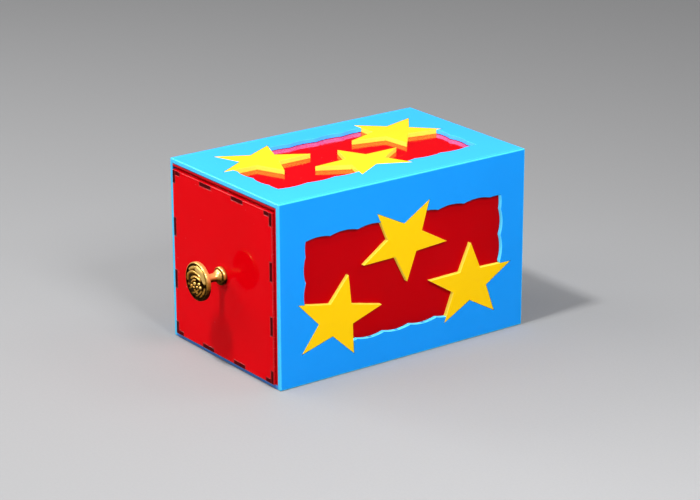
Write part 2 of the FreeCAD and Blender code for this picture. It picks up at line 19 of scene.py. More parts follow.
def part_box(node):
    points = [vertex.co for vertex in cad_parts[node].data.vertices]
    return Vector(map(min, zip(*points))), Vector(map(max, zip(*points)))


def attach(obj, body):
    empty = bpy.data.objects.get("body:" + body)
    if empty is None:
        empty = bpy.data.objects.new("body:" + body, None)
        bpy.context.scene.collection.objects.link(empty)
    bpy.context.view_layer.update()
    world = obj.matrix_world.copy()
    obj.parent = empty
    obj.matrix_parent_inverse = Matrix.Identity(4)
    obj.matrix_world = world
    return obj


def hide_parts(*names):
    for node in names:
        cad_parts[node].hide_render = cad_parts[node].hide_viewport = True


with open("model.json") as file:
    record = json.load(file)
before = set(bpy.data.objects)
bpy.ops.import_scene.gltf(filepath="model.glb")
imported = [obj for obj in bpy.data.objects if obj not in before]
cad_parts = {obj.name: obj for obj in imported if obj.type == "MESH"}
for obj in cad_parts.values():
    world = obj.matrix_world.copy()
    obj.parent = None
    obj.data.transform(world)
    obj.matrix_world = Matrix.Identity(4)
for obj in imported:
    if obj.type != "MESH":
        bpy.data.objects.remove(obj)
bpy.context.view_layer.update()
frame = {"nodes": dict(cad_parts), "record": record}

MM = 0.001

# Colours of the sheet, linear.
BLUE = (0.010, 0.338, 1.0, 1.0)
BLUE_DEEP = (0.009, 0.320, 0.97, 1.0)
# Painted light: a paler, lit copy of the blue for the sheet on top.
BLUE_LIT_ABOVE = (0.046, 0.450, 1.0, 1.0)
BLUE_LIT_ABOVE_DEEP = (0.043, 0.430, 0.97, 1.0)
# Painted light: the blue cut edges are paler than the face.
BLUE_EDGE = (0.045, 0.60, 1.0, 1.0)
# Painted shade: a darker blue for the bottom sheet's cut edges.
BLUE_SHADED_BELOW = (0.06, 0.27, 0.80, 1.0)
# Painted light: window walls that face the light are paler than the sheet, and glow.
WINDOW_LIT_ABOVE = (0.06, 0.62, 0.95, 1.0)
WINDOW_LIT_ABOVE_GLOW = (0.03, 0.05, 1.0, 1.0)
WINDOW_LIT_BESIDE = (0.09, 0.62, 1.0, 1.0)
# Painted shade: near-black blue for the strip by the lining, the star seats and shaded chamfers.
WINDOW_SHADE = (0.002, 0.05, 0.14, 1.0)
RED = (0.79, 0.0, 0.004, 1.0)
RED_DEEP = (0.74, 0.0, 0.003, 1.0)
RED_EDGE = (0.55, 0.0, 0.003, 1.0)
# Painted shade: a darker red for the red sheets' cut edges that face up.
RED_RIM_SHADED = (0.52, 0.0, 0.003, 1.0)
LINING = (0.53, 0.0, 0.003, 1.0)
LINING_DEEP = (0.50, 0.0, 0.002, 1.0)
# Painted light: the lining on top is a paler copy of the lining beside.
LINING_LIT_ABOVE = (0.70, 0.0, 0.005, 1.0)
LINING_EDGE = (0.62, 0.0, 0.003, 1.0)
MAROON = (0.062, 0.0, 0.001, 1.0)
YELLOW = (1.0, 0.615, 0.003, 1.0)
YELLOW_DEEP = (0.98, 0.595, 0.002, 1.0)
# The stars on top take a copy of the yellow set to their light, without the painted glow.
YELLOW_ABOVE = (1.0, 0.59, 0.022, 1.0)
# Painted light: the yellow cut edges are paler than the face, and glow.
YELLOW_EDGE = (1.0, 0.82, 0.08, 1.0)
DUST = (0.75, 0.78, 0.80, 1.0)

# Colours of the metal, linear.
BRASS_BRIGHT = (1.0, 0.66, 0.20, 1.0)
BRASS_DULL = (0.46, 0.21, 0.030, 1.0)
PATINA = (0.012, 0.005, 0.001, 1.0)
STEEL = (0.58, 0.58, 0.57, 1.0)
STEEL_DARK = (0.34, 0.34, 0.35, 1.0)

FLOOR = (0.31, 0.31, 0.315, 1.0)

BOX = {node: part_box(node) for node in frame["nodes"]}
BODY_OF = {}
for body, members in frame["record"]["behaviour"]["bodies"].items():
    for member in members:
        BODY_OF[member] = body


class Finish:
    """A material, with short calls that add nodes to it."""

    def __init__(self, name):
        self.material = bpy.data.materials.new(name)
        self.material.use_nodes = True
        self.tree = self.material.node_tree
        self.shader = self.tree.nodes["Principled BSDF"]
        self.place = self.tree.nodes.new("ShaderNodeTexCoord").outputs["Object"]

    def node(self, kind, sockets, **settings):
        """Add a node. A socket takes a value, or another node's output."""
        made = self.tree.nodes.new(kind)
        for name, value in settings.items():
            setattr(made, name, value)
        for name, value in sockets.items():
            self.feed(made.inputs[name], value)
        return made

    def feed(self, socket, value):
        if isinstance(value, bpy.types.NodeSocket):
            self.tree.links.new(value, socket)
        else:
            socket.default_value = value

    def finish(self, **sockets):
        """Set the shader's sockets by their names, with spaces as underscores."""
        for name, value in sockets.items():
            self.feed(self.shader.inputs[name.replace("_", " ")], value)
        return self.material

    def noise(self, scale, detail=2.0, stretch=(1, 1, 1), turn=(0, 0, 0)):
        place = self.node("ShaderNodeMapping", {"Vector": self.place, "Scale": stretch, "Rotation": turn})
        cloud = self.node(
            "ShaderNodeTexNoise", {"Vector": place.outputs["Vector"], "Scale": scale, "Detail": detail})
        return cloud.outputs["Fac"]

    def spread(self, value, low, high, start=0.0, end=1.0):
        """Map low..high to start..end, held at both ends."""
        sockets = {"Value": value, "From Min": low, "From Max": high, "To Min": start, "To Max": end}
        return self.node("ShaderNodeMapRange", sockets).outputs["Result"]

    def math(self, operation, first, second):
        made = self.tree.nodes.new("ShaderNodeMath")
        made.operation = operation
        self.feed(made.inputs[0], first)
        self.feed(made.inputs[1], second)
        return made.outputs[0]

    def blend(self, share, first, second):
        """A colour between two, by the share of the second."""
        made = self.tree.nodes.new("ShaderNodeMix")
        made.data_type = "RGBA"
        self.feed(made.inputs["Factor"], share)
        self.feed(made.inputs["A_Color" if "A_Color" in made.inputs else 6], first)
        self.feed(made.inputs["B_Color" if "B_Color" in made.inputs else 7], second)
        return made.outputs[2]

    def bump(self, height, distance, strength=1.0, normal=None):
        sockets = {"Height": height, "Distance": distance, "Strength": strength}
        if normal is not None:
            sockets["Normal"] = normal
        return self.node("ShaderNodeBump", sockets).outputs["Normal"]

    def scratches(self, turn):
        """Sparse hairlines in one direction."""
        lines = self.noise(1.0, 0.0, (2600, 14, 2600), turn)
        patches = self.noise(28.0, 1.0, (1, 1, 1), turn)
        thin = self.spread(lines, 0.76, 0.80)
        return self.math("MULTIPLY", thin, self.spread(patches, 0.52, 0.62))

    def dust(self):
        """Sparse specks, each in a cell of its own."""
        cells = self.node("ShaderNodeTexVoronoi", {"Vector": self.place, "Scale": 210.0})
        near = self.spread(cells.outputs["Distance"], 0.03, 0.05, 1.0, 0.0)
        pick = self.tree.nodes.new("ShaderNodeSeparateColor")
        self.tree.links.new(cells.outputs["Color"], pick.inputs["Color"])
        return self.math("MULTIPLY", near, self.math("GREATER_THAN", pick.outputs["Red"], 0.72))


def gloss_sheet(name, colour, deep, gloss, glow=0.0):
    """Cast sheet: even colour, faint clouds, hairline scratches, a few specks of dust.

    A sheet may take a painted glow, an emission in its own colour.
    """
    sheet = Finish(name)
    clouds = sheet.noise(16.0, 3.0)
    smears = sheet.noise(45.0, 4.0, (1, 2.2, 1))
    hairs = sheet.math(
        "MAXIMUM", sheet.scratches((0.3, 0.5, 0.2)), sheet.scratches((-0.9, 0.2, 1.1)))
    dust = sheet.dust()
    tone = sheet.blend(sheet.spread(clouds, 0.3, 0.7), colour, deep)
    tone = sheet.blend(sheet.math("MULTIPLY", dust, 0.4), tone, DUST)
    shine = sheet.math("ADD", sheet.spread(smears, 0.35, 0.7, 0.04, 0.10), sheet.math("MULTIPLY", hairs, 0.2))
    waves = sheet.bump(sheet.noise(22.0, 1.0), 0.25 * MM)
    normal = sheet.bump(hairs, -0.01 * MM, 1.0, waves)
    return sheet.finish(
        Base_Color=tone, Roughness=shine, Normal=normal, IOR=1.49, Specular_IOR_Level=gloss,
        Emission_Color=colour, Emission_Strength=glow)


def cut_edge(name, across, colour, light, glow, gloss):
    """Laser-cut edge: fine lines that run through the thickness, which lies along one axis."""
    edge = Finish(name)
    stretch = [1.0, 1.0, 1.0]
    stretch[across] = 0.04
    lines = edge.noise(2400.0, 1.0, stretch)
    drift = edge.noise(90.0, 2.0)
    tone = edge.blend(edge.spread(drift, 0.3, 0.7), colour, [0.92 * part for part in colour[:3]] + [1.0])
    normal = edge.bump(lines, 0.02 * MM)
    # Where its strength is not zero, the emission is a painted glow.
    return edge.finish(
        Base_Color=tone, Roughness=edge.spread(lines, 0.3, 0.7, 0.16, 0.30), Normal=normal,
        IOR=1.49, Specular_IOR_Level=gloss, Emission_Color=light, Emission_Strength=glow)


def finger_end(name, colour):
    """Dark end of a finger in its notch."""
    end = Finish(name)
    grain = end.noise(900.0, 3.0)
    tone = end.blend(end.spread(grain, 0.35, 0.7, 0.0, 0.06), colour, RED_DEEP)
    return end.finish(
        Base_Color=tone, Roughness=0.5, Normal=end.bump(grain, 0.04 * MM), IOR=1.49,
        Specular_IOR_Level=0.02)


def antique_brass(name, wear):
    """Brass with a dark patina in the hollows. Wear, which on the knob carries painted light and
    shade too, is an attribute's name or an even share.
    """
    brass = Finish(name)
    if isinstance(wear, str):
        rubbed_and_lit = brass.node("ShaderNodeAttribute", {}, attribute_name=wear).outputs["Fac"]
    else:
        rubbed_and_lit = brass.spread(brass.noise(160.0, 2.0), 0.3, 0.7, wear - 0.15, wear + 0.15)
    stain = brass.noise(420.0, 4.0)
    rubbed_and_lit = brass.math("ADD", rubbed_and_lit, brass.spread(stain, 0.3, 0.7, -0.14, 0.14))
    metal = brass.blend(brass.spread(rubbed_and_lit, 0.45, 0.95), BRASS_DULL, BRASS_BRIGHT)
    tone = brass.blend(brass.spread(rubbed_and_lit, 0.05, 0.42), PATINA, metal)
    shine = brass.spread(rubbed_and_lit, 0.1, 0.9, 0.50, 0.28)
    grain = brass.bump(brass.noise(1500.0, 3.0), 0.03 * MM)
    return brass.finish(
        Base_Color=tone, Metallic=0.7, Roughness=shine, Normal=grain, Specular_IOR_Level=0.05,
        Specular_Tint=BRASS_BRIGHT)


def plated_steel(name):
    """Zinc plate with a faint turning grain."""
    steel = Finish(name)
    grain = steel.noise(1200.0, 2.0, (1, 6, 1))
    tone = steel.blend(steel.spread(steel.noise(180.0, 3.0), 0.3, 0.7), STEEL, STEEL_DARK)
    return steel.finish(
        Base_Color=tone, Metallic=1.0, Roughness=steel.spread(grain, 0.3, 0.7, 0.24, 0.38),
        Normal=steel.bump(grain, 0.01 * MM))


FACES = {
    "blue_acrylic": gloss_sheet("blue_sheet", BLUE, BLUE_DEEP, 0.06),
    "red_acrylic": gloss_sheet("red_sheet", RED, RED_DEEP, 0.02),
    "tray_acrylic": gloss_sheet("tray_sheet", RED, RED_DEEP, 0.05),
    # The yellow sheet takes a painted glow.
    "yellow_acrylic": gloss_sheet("yellow_sheet", YELLOW, YELLOW_DEEP, 0.05, 0.07),
}
# The sheets on top are paler: lit copies of the colours beside, painted light. The stars' yellow
# there is set to the light on top. The lining there has a full gloss, and mirrors the window's walls.
LIT_BLUE_SHEET = gloss_sheet("blue_sheet_above", BLUE_LIT_ABOVE, BLUE_LIT_ABOVE_DEEP, 0.10)
SPECIAL_FACES = {
    "casing_top": LIT_BLUE_SHEET,
    "lining_top": gloss_sheet("lining_above", LINING_LIT_ABOVE, LINING_LIT_ABOVE, 1.0),
    "lining_": gloss_sheet("lining_sheet", LINING, LINING_DEEP, 0.03),
    "star_top": gloss_sheet("yellow_sheet_above", YELLOW_ABOVE, YELLOW_ABOVE, 0.05),
}

# Cut edges: colour, the colour of a painted glow and its strength, gloss. The glow and the paler
# blue and yellow edge colours are painted light, for light carried through the sheet to its edge.
EDGE_LOOKS = {
    "blue_acrylic": (BLUE_EDGE, BLUE_EDGE, 0.03, 0.50),
    "red_acrylic": (RED_EDGE, RED_EDGE, 0.0, 0.50),
    "tray_acrylic": (RED_EDGE, RED_EDGE, 0.0, 0.50),
    "yellow_acrylic": (YELLOW_EDGE, YELLOW_EDGE, 0.20, 0.05),
    "lining_": (LINING_EDGE, LINING_EDGE, 0.0, 0.05),
    # Painted shade: the bottom sheet's darker cut edges.
    "casing_bottom": (BLUE_SHADED_BELOW, BLUE_SHADED_BELOW, 0.0, 0.10),
    # Painted shade: the darker red of cut edges that face up.
    "red_rim": (RED_RIM_SHADED, RED_RIM_SHADED, 0.0, 0.30),
    # Painted light: the lit window walls, paler and glowing.
    "window_above": (WINDOW_LIT_ABOVE, WINDOW_LIT_ABOVE_GLOW, 0.75, 0.10),
    "window_beside": (WINDOW_LIT_BESIDE, WINDOW_LIT_BESIDE, 0.50, 0.10),
    "window_shade": (WINDOW_SHADE, WINDOW_SHADE, 0.0, 0.05),
}
EDGES = {}
for edge_kind, look in EDGE_LOOKS.items():
    for across_axis, letter in enumerate("xyz"):
        EDGES[edge_kind, across_axis] = cut_edge(f"{edge_kind}_edge_{letter}", across_axis, *look)
FINGER_END = finger_end("finger_end", MAROON)
METALS = {
    "antique_brass": antique_brass("worn_brass", 0.7),
    "plated_steel": plated_steel("zinc_plate"),
}

# Welding distance, and the least angles between two faces that meet at an arris, before and
# after the outer arrises of the casing are rounded.
WELD = 0.001 * MM
ARRIS = math.radians(20)
SHARP_ARRIS = math.radians(50)
FLAT = 0.999
# The outer box of the casing's sheets, which all lie inside it.
CASING_SHEETS = [BOX[f"casing_{part}"] for part in ("right", "left", "top", "bottom", "back")]
CASING_LOW = [min(corners[0][axis] for corners in CASING_SHEETS) for axis in range(3)]
CASING_HIGH = [max(corners[1][axis] for corners in CASING_SHEETS) for axis in range(3)]
# How much is taken off the arrises.
OUTER_ROUND = 0.85 * MM
ARRIS_SIZES = {"star": 0.08 * MM, "lining": 0.35 * MM, "drawer_front": 0.42 * MM}
ARRIS_SIZE = 0.20 * MM
SHADED_CHAMFER = 0.38 * MM
# A strip of the windows' walls next to the lining, painted dark as shade, and its width.
SEAM_SHADE_STRIP = 0.30 * MM
# A cut edge further in than this from a casing sheet's outline is a window's wall. Those that
# face this way are painted lit, paler and glowing, but not those that close round a star.
SHEET_RIM = 4 * MM
LIT_WAY = Vector((0.5, -0.5, 0.7)).normalized()
STAR_CLOSE = 0.45 * MM


def thickness_axis(node):
    """The axis across a sheet, where its box is thinnest."""
    low, high = BOX[node]
    sides = high - low
    return min(range(3), key=lambda axis: sides[axis])


def plane_cut(solid, axis, level):
    """Cut every face of a solid along a plane square to one axis, and keep both sides."""
    place, way = Vector(), Vector()
    place[axis] = level
    way[axis] = 1
    bmesh.ops.bisect_plane(
        solid, geom=solid.verts[:] + solid.edges[:] + solid.faces[:], dist=WELD, plane_co=place,
        plane_no=way)


def bevelled(solid, arrises, offset, segments):
    bmesh.ops.bevel(
        solid, geom=arrises, offset=offset, offset_type="OFFSET", segments=segments, profile=0.5,
        affect="EDGES", material=-1, clamp_overlap=segments > 1)


def broken_copy(node, offset, cased=False):
    """A welded copy of a node's mesh with its arrises broken by the offset.

    On the casing's own sheets the outer arrises are rounded further, and the shaded arrises of
    the windows get a chamfer, painted dark as shade. The walls are cut along a strip next to the
    lining, which is painted dark as shade too.
    """
    solid = bmesh.new()
    solid.from_mesh(frame["nodes"][node].data)
    bmesh.ops.remove_doubles(solid, verts=solid.verts, dist=WELD)
    for edge in solid.edges:
        edge.smooth = True
    bmesh.ops.dissolve_limit(
        solid, angle_limit=math.radians(0.5), use_dissolve_boundaries=False,
        verts=solid.verts, edges=solid.edges, delimit={"NORMAL"})
    if BODY_OF[node] == "drawer" and node != "drawer_front":
        plane_cut(solid, 1, BOX["drawer_front"][1].y)
    least = ARRIS
    if cased:
        rims = [edge for edge in solid.edges if on_outer_arris(edge)]
        bevelled(solid, rims, OUTER_ROUND, 4)
        least = SHARP_ARRIS
        across = thickness_axis(node)
        outside, inside = sheet_sides(node, across)
        shaded = [
            edge for edge in solid.edges
            if is_shaded_arris(edge, BOX[node], across, outside, star_trees_of(node))
        ]
        bevelled(solid, shaded, SHADED_CHAMFER, 1)
        plane_cut(solid, across, inside + math.copysign(SEAM_SHADE_STRIP, outside - inside))
    arrises = [edge for edge in solid.edges if edge.is_manifold and edge.calc_face_angle() > least]
    bevelled(solid, arrises, offset, 2)
    return solid


def sheet_sides(node, across):
    """The levels of a casing sheet's outer and inner broad faces."""
    low, high = BOX[node]
    if abs(high[across] - CASING_HIGH[across]) < WELD * 20:
        return high[across], low[across]
    return low[across], high[across]


def is_shaded_arris(edge, box, across, outside, stars):
    """Whether an edge is the outer arris of a window's wall that lies in the shade."""
    if any(abs(vertex.co[across] - outside) > WELD * 20 for vertex in edge.verts):
        return False
    walls = [face for face in edge.link_faces if abs(face.normal[across]) < 0.5]
    if len(walls) != 1 or not in_window(walls[0], box, across):
        return False
    if walls[0].normal.dot(LIT_WAY) > 0.15:
        return False
    middle = (edge.verts[0].co + edge.verts[1].co) / 2
    return all(tree.find_nearest(middle)[3] > STAR_CLOSE for tree in stars)


def on_outer_arris(edge):
    """Whether an edge runs along one of the twelve arrises of the outer box."""
    shared = 0
    for axis in range(3):
        for level in (CASING_LOW[axis], CASING_HIGH[axis]):
            shared += all(abs(vertex.co[axis] - level) < WELD * 20 for vertex in edge.verts)
    return shared >= 2


def shown_piece(solid, name, materials):
    """Turn a bmesh into a smooth-shaded object with its materials. The sheets and metal parts keep
    their broad faces flat by a modifier added after.
    """
    for face in solid.faces:
        face.smooth = True
    mesh = bpy.data.meshes.new(name)
    solid.to_mesh(mesh)
    solid.free()
    if "custom_normal" in mesh.attributes:
        mesh.attributes.remove(mesh.attributes["custom_normal"])
    for material in materials:
        mesh.materials.append(material)
    piece = bpy.data.objects.new(name, mesh)
    bpy.context.scene.collection.objects.link(piece)
    return piece


def stand_in(piece, node):
    """The piece stands for the node, on the node's own body."""
    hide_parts(node)
    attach(piece, BODY_OF[node])
    return piece


def in_window(face, box, across):
    """Whether a cut edge bounds a window or a star's seat, and not the sheet's outline."""
    low, high = box
    middle = face.calc_center_median()
    return all(
        low[axis] + SHEET_RIM < middle[axis] < high[axis] - SHEET_RIM
        for axis in range(3) if axis != across)


def by_start(table, node, usual):
    """The first entry whose key starts the node's name."""
    return next((value for start, value in table.items() if node.startswith(start)), usual)


STAR_TREES = {}


def star_trees_of(node):
    """Search trees of the stars set in one of the casing's sheets."""
    if node not in STAR_TREES:
        STAR_TREES[node] = []
        for star in frame["nodes"]:
            if star.startswith(node.replace("casing", "star")):
                shape = bmesh.new()
                shape.from_mesh(frame["nodes"][star].data)
                STAR_TREES[node].append(BVHTree.FromBMesh(shape))
                shape.free()
    return STAR_TREES[node]


def wall_kind(face, node, across):
    """Which look a window's wall takes: painted lit where it faces the light, plain, or painted dark
    as shade along a star, on a shaded chamfer and in the strip next to the lining.
    """
    middle = face.calc_center_median()
    # Painted shade: the strip next to the lining and the seats round the stars are dark.
    if abs(middle[across] - sheet_sides(node, across)[1]) < SEAM_SHADE_STRIP:
        return 4
    if any(tree.find_nearest(middle)[3] < STAR_CLOSE for tree in star_trees_of(node)):
        return 4
    # Painted light: walls that face this way take the lit look.
    if face.normal.dot(LIT_WAY) > 0.15:
        return 3
    # Painted shade: the chamfers on the shaded arrises are dark.
    return 4 if abs(face.normal[across]) > 0.3 else 0


def face_kind(face, node, slot, across):
    """Which of a sheet's looks one face takes, as a number in its list of materials."""
    flat = abs(face.normal[across]) > FLAT
    middle = face.calc_center_median()
    low, high = BOX["drawer_front"]
    if BODY_OF[node] == "drawer" and node != "drawer_front" and middle.y < high.y - WELD:
        if middle.y < low.y + WELD:
            return 2
        # Painted shade: the tops of the fingers in the front's notches take the darker red.
        return 5 if face.normal.z > FLAT else 1
    # Painted shade: the top lining's front chamfer, facing up, takes the dark look, a shadow line under the top
    # sheet.
    if node == "lining_top" and not flat and face.normal.z > 0.3 and face.normal.y < -0.3:
        return 4
    if flat:
        return 0
    # Cut edges facing up: the paler top blue as painted light, or a darker red as painted shade.
    if face.normal.z > FLAT and slot in ("blue_acrylic", "red_acrylic"):
        return 5
    return 1


def dress_sheet(node, slot):
    """Broad faces in the sheet's gloss, cut edges in their own look, finger ends dark. Window walls
    and cut edges facing up are painted lit or dark by the way they face, as light and shade.
    """
    across = thickness_axis(node)
    box = BOX[node]
    cased = BODY_OF[node] == "casing" and slot == "blue_acrylic"
    solid = broken_copy(node, by_start(ARRIS_SIZES, node, ARRIS_SIZE), cased)
    for face in solid.faces:
        face.material_index = face_kind(face, node, slot, across)
        if cased and face.material_index == 1 and in_window(face, box, across):
            face.material_index = wall_kind(face, node, across)
    broad = by_start(SPECIAL_FACES, node, FACES[slot])
    edge_kind = by_start({start: start for start in ("lining_", "casing_bottom")}, node, slot)
    window = "window_above" if node == "casing_top" else "window_beside"
    # Painted light on blue, painted shade on red, for the cut edges that face up.
    rim = LIT_BLUE_SHEET if slot == "blue_acrylic" else EDGES["red_rim", across]
    materials = [broad, EDGES[edge_kind, across], FINGER_END, EDGES[window, across]]
    materials += [EDGES["window_shade", across], rim]
    piece = shown_piece(solid, f"{node}_sheet", materials)
    flatten = piece.modifiers.new("flat_faces", "WEIGHTED_NORMAL")
    flatten.mode = "FACE_AREA"
    flatten.weight = 100
    stand_in(piece, node)


def dress_metal(node, slot, offset):
    solid = broken_copy(node, offset)
    piece = shown_piece(solid, f"{node}_metal", [METALS[slot]])
    flatten = piece.modifiers.new("flat_faces", "WEIGHTED_NORMAL")
    flatten.mode = "FACE_AREA"
    flatten.weight = 100
    stand_in(piece, node)


# The knob's profile in millimetres, as (radius, reach from the drawer front).
KNOB_RIM = 3.4
KNOB_ROUND = 0.9
KNOB_CROWN = 2.8
KNOB_LIP = 0.35
KNOB_GROOVE = 0.9
KNOB_FLARE = 3.4
NECK_RADIUS = 2.8
NECK_START = 7.4
FOOT_RADIUS = 6.2
FOOT_THICKNESS = 3.0
FOOT_ROUND = 1.3
KNOB_STEPS = 256
CROWN_ROWS = 84
CROWN_SINK = 1.5

# Petals of the rose in millimetres. The lip is the arc through three points (x, z) from the
# middle of the crown. Then come its height, the width of the slope beside it, and the side
# of the slope: 1 inside the arc, -1 outside.
PETALS = (
    ((-8.8, 6.0), (-4.6, 9.1), (1.0, 10.3), 1.0, 2.5, 1),
    ((-0.9, 8.9), (5.6, 6.6), (9.7, 0.6), 1.15, 3.4, -1),
    ((-10.6, 1.2), (0.6, 7.1), (9.9, 1.6), 1.05, 1.8, 1),
    ((-10.6, 3.8), (-10.9, 0.5), (-9.9, -1.8), 0.8, 4.6, 1),
    ((-4.0, 1.2), (1.2, 4.4), (6.6, 2.4), 1.25, 1.6, 1),
    ((-2.6, -1.0), (-0.9, 1.4), (2.0, 1.9), 1.1, 1.1, 1),
    ((-10.3, -3.6), (-7.4, -3.5), (-4.0, -1.6), 0.85, 1.4, 1),
    ((-8.6, -6.6), (-5.6, -5.6), (-2.9, -3.8), 0.85, 1.4, 1),
    ((-6.0, -8.9), (0.2, -6.8), (5.0, -3.5), 0.95, 1.4, 1),
    ((-1.2, -10.2), (3.6, -7.6), (7.0, -4.2), 0.75, 1.2, 1),
    ((3.0, -10.0), (6.6, -7.4), (9.2, -3.4), 0.65, 1.2, 1),
    ((9.9, -1.6), (9.2, -4.4), (7.6, -6.9), 0.6, 1.6, 1),
)
PETAL_BACK = 0.5
ROSE_EDGE = 11.5
# Beads at the heart of the rose: centre x and z, radius.
BEADS = (
    (1.2, -0.4, 1.1),
    (-2.5, -2.9, 1.2),
    (5.4, 0.2, 0.9),
    (6.5, -2.0, 0.95),
    (2.6, -6.5, 0.8),
    (-0.2, -3.3, 0.75),
    (3.4, -2.3, 0.8),
    (0.6, -5.2, 0.65),
)
BEAD_SEAT = 0.5


def arc_through(start, crest, end):
    """Centre, radius, first angle and turn of the arc through three points."""
    (ax, az), (bx, bz), (cx, cz) = start, crest, end
    scale = 2 * (ax * (bz - cz) + bx * (cz - az) + cx * (az - bz))
    a_square, b_square, c_square = ax * ax + az * az, bx * bx + bz * bz, cx * cx + cz * cz
    x = (a_square * (bz - cz) + b_square * (cz - az) + c_square * (az - bz)) / scale
    z = (a_square * (cx - bx) + b_square * (ax - cx) + c_square * (bx - ax)) / scale
    first, middle, last = (math.atan2(point[1] - z, point[0] - x) for point in (start, crest, end))
    turn = (last - first) % math.tau
    if (middle - first) % math.tau > turn:
        turn -= math.tau
    return x, z, math.hypot(ax - x, az - z), first, turn


LIPS = [arc_through(*petal[:3]) + petal[3:] for petal in PETALS]


def petal_rise(lip, x, z):
    """Height of one petal at a place on the knob's face."""
    centre_x, centre_z, radius, first, turn, height, width, side = lip
    inward = (radius - math.hypot(x - centre_x, z - centre_z)) * side
    if inward < -PETAL_BACK or inward > width:
        return 0.0
    angle = math.atan2(z - centre_z, x - centre_x)
    along = ((angle - first) * math.copysign(1, turn) % math.tau) / abs(turn)
    if along > 1:
        return 0.0
    taper = min(1.0, 6 * along, 6 * (1 - along)) ** 0.5
    if inward < 0:
        return height * taper * (1 - (inward / PETAL_BACK) ** 2)
    if side < 0:
        return height * taper * (1 - (inward / width) ** 2)
    return height * taper * (1 - inward / width) ** 1.4


def rose_rise(x, z):
    """Height of the whole relief at a place on the knob's face."""
    rise = max(petal_rise(lip, x, z) for lip in LIPS)
    for bead_x, bead_z, radius in BEADS:
        away = math.hypot(x - bead_x, z - bead_z)
        if away < radius:
            rise = max(rise, BEAD_SEAT + 0.9 * math.sqrt(radius ** 2 - away ** 2))
    fade = min(1.0, max(0.0, (ROSE_EDGE - math.hypot(x, z)) / 0.5))
    return rise * fade


def bow(start, end, rise, count):
    """Points from start towards end on a shallow arc that rises to the left of the way."""
    points = []
    across = Vector((-(end[1] - start[1]), end[0] - start[0])).normalized()
    for index in range(count):
        share = index / count
        lift = 4 * rise * share * (1 - share)
        points.append((
            start[0] + (end[0] - start[0]) * share + across.x * lift,
            start[1] + (end[1] - start[1]) * share + across.y * lift))
    return points


def rounded(centre, radius, start, end, count):
    """Points on an arc of the profile, between two angles in degrees."""
    points = []
    for step in range(count + 1):
        angle = math.radians(start + (end - start) * step / count)
        points.append((centre[0] + radius * math.cos(angle), centre[1] + radius * math.sin(angle)))
    return points


def knob_profile(radius, reach):
    """Outline of the knob from the middle of its crown to the back of its foot."""
    rim_front = reach - KNOB_CROWN
    rim_back = rim_front - KNOB_RIM
    rim_inside = radius - KNOB_ROUND
    crown_edge = rim_inside - KNOB_LIP
    groove = rim_front - KNOB_GROOVE
    top = reach - CROWN_SINK
    ball = (crown_edge ** 2 + (top - groove) ** 2) / (2 * (top - groove))
    points = []
    for row in range(CROWN_ROWS + 1):
        away = crown_edge * row / CROWN_ROWS
        points.append((away, top - ball + math.sqrt(ball ** 2 - away ** 2)))
    points += [(crown_edge + 0.12, groove - 0.15), (crown_edge + 0.3, groove - 0.05)]
    points += rounded((rim_inside, rim_front - KNOB_ROUND), KNOB_ROUND, 120, 0, 12)
    points += rounded((rim_inside, rim_back + KNOB_ROUND), KNOB_ROUND, 0, -90, 10)
    points += bow((rim_inside - 0.4, rim_back), (NECK_RADIUS, rim_back - KNOB_FLARE), -0.7, 16)
    points += [(NECK_RADIUS, rim_back - KNOB_FLARE), (NECK_RADIUS, (rim_back + NECK_START) / 2 - 2)]
    foot_inside = FOOT_RADIUS - FOOT_ROUND
    points += bow((NECK_RADIUS, NECK_START), (foot_inside - 0.15, FOOT_THICKNESS + 0.35), -0.5, 14)
    points += [(foot_inside - 0.1, FOOT_THICKNESS + 0.2), (foot_inside - 0.3, FOOT_THICKNESS - 0.1)]
    points += [(foot_inside - 0.2, FOOT_THICKNESS - 0.25)]
    points += rounded((foot_inside, FOOT_THICKNESS - FOOT_ROUND), FOOT_ROUND, 90, 0, 10)
    points += [(FOOT_RADIUS, 0.25), (FOOT_RADIUS - 0.25, 0.0), (2.05, 0.0)]
    return points


def brass_wear_and_light(vertex, centre, radius, reach):
    """Brightness of the brass: worn bright on the relief and where hands rub, with dark patina in the
    hollows, and painted light and shade: lighter on faces turned up, darker on faces turned down,
    at the bottom of the disc's edge and on the back of the foot, and the crown painted lighter
    towards its upper right.
    """
    x, z = (vertex.co.x - centre.x) / MM, (vertex.co.z - centre.z) / MM
    out = (centre.y - vertex.co.y) / MM
    away = math.hypot(x, z)
    crown_edge = radius - KNOB_ROUND - KNOB_LIP
    rim_front = reach - KNOB_CROWN
    # Painted light and shade: lighter where the surface faces up, darker where it faces down.
    lit_from_above = min(1.0, max(0.0, 0.40 + 1.3 * vertex.normal.z))
    if away < crown_edge + 0.35 and out > rim_front - KNOB_GROOVE - 0.2:
        rise = rose_rise(x, z)
        # The raised relief is worn bright; painted light makes the crown lighter towards its upper right.
        shade = min(1.0, max(0.0, 0.66 + 0.035 * x + 0.06 * z))
        return min(1.0, rise / 0.85) * (0.25 + 0.75 * shade)
    if out > rim_front - KNOB_RIM:
        # Painted shade: the disc's edge is darker towards the bottom.
        lit_from_above *= min(1.0, max(0.15, 0.75 + 0.06 * z))
    # Darker in the groove between bell and foot, as patina, and on the foot's back rounding, as painted shade.
    elif FOOT_THICKNESS - 0.3 < out < FOOT_THICKNESS + 0.45 or out < 0.6:
        lit_from_above *= 0.25
    return 0.04 + 0.94 * lit_from_above


